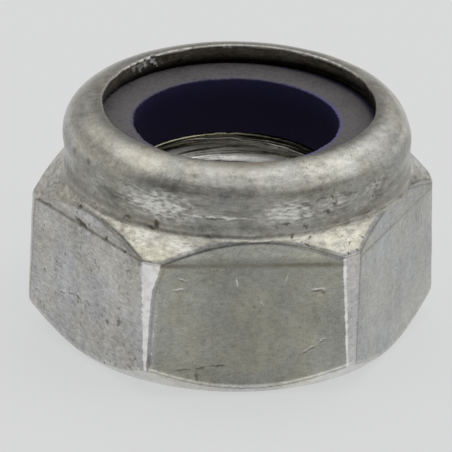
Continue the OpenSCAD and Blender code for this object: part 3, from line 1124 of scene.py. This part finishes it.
def steel_material():
    """Satin stainless steel: mottled film, scuffed patches, abraded edges with painted highlights, dirt and
    painted shade in the hollows, and marks.
    """
    material, tree, shader = new_material("satin_stainless_steel")
    tone = layer(tree, "tone")
    scuffing = tone.outputs["Alpha"]
    names = ("worn", "dirt", "lined", "pepper", "rolled")
    worn, dirt, lined, pepper, rolled = (layer(tree, name).outputs["Fac"] for name in names)
    broad = grain(tree, 0.22, 2.0)
    warm = grain(tree, 0.3, 2.0, offset=21.0)
    fine = grain(tree, 9.0, 3.0, offset=5.0)
    speck = grain(tree, 2.2, 5.0, offset=7.0)
    scuff = grain(tree, 1.8, 4.0, (1.0, 1.0, 3.0), 3.0)
    streak = grain(tree, 0.7, 2.0, (1.0, 1.0, 0.1), 9.0)
    whisker = grain(tree, 4.0, 3.0, (0.5, 0.5, 1.3), 17.0)
    turning = grain(tree, 1.0, 2.0, (0.15, 0.15, 11.0), 11.0)
    cluster = grain(tree, 0.45, 2.0, offset=13.0)
    mottle = grain(tree, 0.9, 3.0, offset=41.0)
    drawn = grain(tree, 0.8, 4.0, (0.6, 0.6, 2.4), 51.0)
    dots = grain(tree, 3.0, 2.0, (1.0, 1.0, 0.8), 31.0)
    light_lines = scratches(tree, 1.3, 0.1, (35.0, 28.0, 0.0))
    dark_lines = scratches(tree, 1.2, 0.09, (-20.0, 40.0, 0.0))
    dark_marks, light_marks = strokes(tree, jostled(tree, 0.35))

    shade = total(
        tree,
        1.0,
        weigh(tree, broad, 0.7),
        weigh(tree, fine, 0.6),
        weigh(tree, speck, 0.5),
        weigh(tree, streak, 0.35),
        product(tree, pepper, total(tree, weigh(tree, mottle, 0.7), weigh(tree, whisker, 1.5))),
        product(tree, light_lines, 0.2),
        product(tree, dark_lines, -0.3),
        product(tree, scuffing, weigh(tree, scuff, 0.5)),
        product(tree, lined, weigh(tree, turning, 4.5)),
        product(tree, rolled, weigh(tree, drawn, 1.3)),
    )
    peppered = product(tree, spread(tree, dots, 0.6, 0.68), spread(tree, cluster, 0.42, 0.6))
    peppered = product(tree, peppered, pepper)
    spots = spread(tree, peppered, 0.0, 1.0, 1.0, 0.25)
    colour = mix_colour(tree, 1.0, tone.outputs["Color"], product(tree, shade, spots), "MULTIPLY")
    tint = mix_colour(tree, spread(tree, warm, 0.35, 0.65), COOL_TINT, WARM_TINT)
    colour = mix_colour(tree, 1.0, colour, tint, "MULTIPLY")

    polish = total(tree, 0.7, weigh(tree, scuff, 2.2), weigh(tree, whisker, 2.6))
    polish = spread(tree, product(tree, scuffing, polish), 0.05, 0.95, 0.0, 0.9)
    colour = mix_colour(tree, product(tree, polish, spots), colour, POLISHED)
    rubbed_and_lit = product(tree, lined, weigh(tree, turning, 3.4))
    nicked = total(tree, weigh(tree, speck, 0.8), weigh(tree, whisker, 0.8))
    ragged = total(tree, worn, rubbed_and_lit, product(tree, nicked, spread(tree, lined, 0.0, 1.0, 1.0, 0.0)))
    # white where the steel is abraded and where highlights are painted
    abraded_and_lit = product(tree, spread(tree, ragged, 0.3, 0.8), spread(tree, worn, 0.02, 0.2))
    abraded_and_lit = calculate(tree, "MAXIMUM", abraded_and_lit, product(tree, light_marks, 0.8))
    white = mix_colour(tree, spread(tree, speck, 0.35, 0.6), RUBBED_AND_LIT, RUBBED_AND_LIT_BRIGHT)
    colour = mix_colour(tree, abraded_and_lit, colour, white)

    # grime and painted shade, from the layer that carries both
    grimed_and_shaded = product(tree, dirt, total(tree, 0.85, weigh(tree, speck, 1.5), weigh(tree, broad, 1.2)))
    grimed_and_shaded = spread(tree, grimed_and_shaded, 0.0, 1.0)
    colour = mix_colour(tree, grimed_and_shaded, colour, GRIME_AND_SHADE)
    colour = mix_colour(tree, product(tree, dark_marks, 0.85), colour, DEPOSIT)
    tree.links.new(colour, shader.inputs["Base Color"])

    chalky = product(tree, calculate(tree, "MAXIMUM", lined, rolled), 0.5)
    dull = product(tree, abraded_and_lit, total(tree, 0.3, chalky))
    dull = total(tree, dull, product(tree, grimed_and_shaded, 0.6))
    tree.links.new(spread(tree, dull, 0.0, 1.0, 1.0, 0.0), shader.inputs["Metallic"])
    rough = total(tree, 0.24, weigh(tree, speck, 0.3), product(tree, dull, 0.3))
    tree.links.new(rough, shader.inputs["Roughness"])
    relief = total(tree, product(tree, fine, 0.35), speck, scuff)
    bump = add_node(tree, "ShaderNodeBump", Strength=0.25, Distance=0.00004, Height=relief)
    tree.links.new(bump.outputs["Normal"], shader.inputs["Normal"])
    return material


def nylon_material():
    """Dark blue nylon: a dusty, dull top face with a painted sheen and a painted shadow near the lip, a deep
    blue hole, and a thin edge painted bright as a highlight.
    """
    material, tree, shader = new_material("dark_blue_nylon")
    dusty, rim = (layer(tree, name).outputs["Fac"] for name in ("dusty", "rim"))
    fine = grain(tree, 6.0, 4.0)
    broad = grain(tree, 0.5, 2.0, offset=4.0)
    film_and_light = total(tree, 0.93, weigh(tree, fine, 2.2), weigh(tree, broad, 0.6))
    film_and_light = product(tree, dusty, film_and_light)
    deep = mix_colour(tree, spread(tree, fine, 0.55, 0.75), NYLON_DARK, NYLON_BLUE)
    colour = mix_colour(tree, film_and_light, deep, NYLON_DUST)
    colour = mix_colour(tree, product(tree, rim, 0.7), colour, NYLON_HIGHLIGHT)
    tree.links.new(colour, shader.inputs["Base Color"])
    tree.links.new(total(tree, 0.55, weigh(tree, fine, 0.3)), shader.inputs["Roughness"])
    shader.inputs["Specular IOR Level"].default_value = 0.2
    bump = add_node(tree, "ShaderNodeBump", Strength=0.2, Distance=0.00003, Height=fine)
    tree.links.new(bump.outputs["Normal"], shader.inputs["Normal"])
    return material


def make_floor():
    """A plain pale floor."""
    mesh = bpy.data.meshes.new("floor")
    ends = (-FLOOR_HALF, FLOOR_HALF)
    mesh.from_pydata([(x, y, 0.0) for y in ends for x in ends], [], [(0, 1, 3, 2)])
    floor = bpy.data.objects.new("floor", mesh)
    bpy.context.collection.objects.link(floor)
    material, _, shader = new_material("pale_floor")
    shader.inputs["Base Color"].default_value = FLOOR_COLOUR
    shader.inputs["Roughness"].default_value = 0.9
    shader.inputs["Specular IOR Level"].default_value = 0.0
    shader.inputs["Emission Color"].default_value = FLOOR_GLOW
    shader.inputs["Emission Strength"].default_value = 0.55
    mesh.materials.append(material)


def add_softbox(name, azimuth, elevation, distance, width, depth, radiance, colour):
    """A flat light that faces the nut from an azimuth and elevation around it."""
    light = bpy.data.lights.new(name, "AREA")
    light.shape = "RECTANGLE"
    light.size = width
    light.size_y = depth
    light.energy = radiance * math.pi * width * depth
    light.color = colour
    lamp = bpy.data.objects.new(name, light)
    flat = math.cos(math.radians(elevation))
    turn = math.radians(azimuth)
    away = Vector((math.sin(turn) * flat, math.cos(turn) * flat, math.sin(math.radians(elevation))))
    lamp.location = away * distance + Vector((0.0, 0.0, overall_h * MM / 2.0))
    lamp.rotation_euler = away.to_track_quat("Z", "Y").to_euler()
    bpy.context.collection.objects.link(lamp)


def make_light():
    """Soft studio light: a pale sweep low down, a dim room in front, and a large box above and behind."""
    world = bpy.data.worlds.new("surround")
    bpy.context.scene.world = world
    world.use_nodes = True
    tree = world.node_tree
    background = tree.nodes["Background"]
    background.inputs["Color"].default_value = ROOM_COLOUR
    place = add_node(tree, "ShaderNodeTexCoord").outputs["Generated"]
    parts = add_node(tree, "ShaderNodeSeparateXYZ", Vector=place)
    room = spread(tree, parts.outputs["Y"], -0.5, -0.1, 0.27, 0.48)
    right = spread(tree, parts.outputs["X"], 0.05, 0.55, 0.0, 0.42)
    right = product(tree, right, spread(tree, parts.outputs["Z"], 0.1, 0.4))
    low = spread(tree, parts.outputs["Z"], 0.02, 0.14, 0.2, 0.0)
    high = spread(tree, parts.outputs["Z"], 0.54, 0.78, 0.0, 0.48)
    tree.links.new(total(tree, room, right, low, high), background.inputs["Strength"])
    add_softbox("back_box", 12.0, 66.0, 0.35, 0.75, 0.5, 0.22, BOX_COLOUR)


def make_camera():
    """The photograph's camera, set by its angles and by where the nut lies in its view."""
    camera = bpy.data.cameras.new("camera")
    camera.lens = LENS
    camera.sensor_width = 36.0
    camera.clip_start = 0.05
    camera.clip_end = 10.0
    turn, rise, roll = (math.radians(a) for a in (CAMERA_AZIMUTH, CAMERA_ELEVATION, CAMERA_ROLL))
    back = Vector((math.sin(turn) * math.cos(rise), -math.cos(turn) * math.cos(rise), math.sin(rise)))
    level = Vector((math.cos(turn), math.sin(turn), 0.0))
    upright = back.cross(level)
    right = math.cos(roll) * level - math.sin(roll) * upright
    up = math.sin(roll) * level + math.cos(roll) * upright
    place = (-NUT_RIGHT * right - NUT_UP * up + NUT_AWAY * back) * MM
    eye = bpy.data.objects.new("camera", camera)
    eye.matrix_world = Matrix.Translation(place) @ Matrix((right, up, back)).transposed().to_4x4()
    bpy.context.collection.objects.link(eye)
    bpy.context.scene.camera = eye


body = make_body()
body.data.materials.append(steel_material())
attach(body, "root")
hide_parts("nut_body")

ring = make_ring()
ring.data.materials.append(nylon_material())
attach(ring, "root")
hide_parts("nylon_insert")

make_floor()
make_light()
make_camera()
bpy.context.scene.view_settings.view_transform = "Standard"
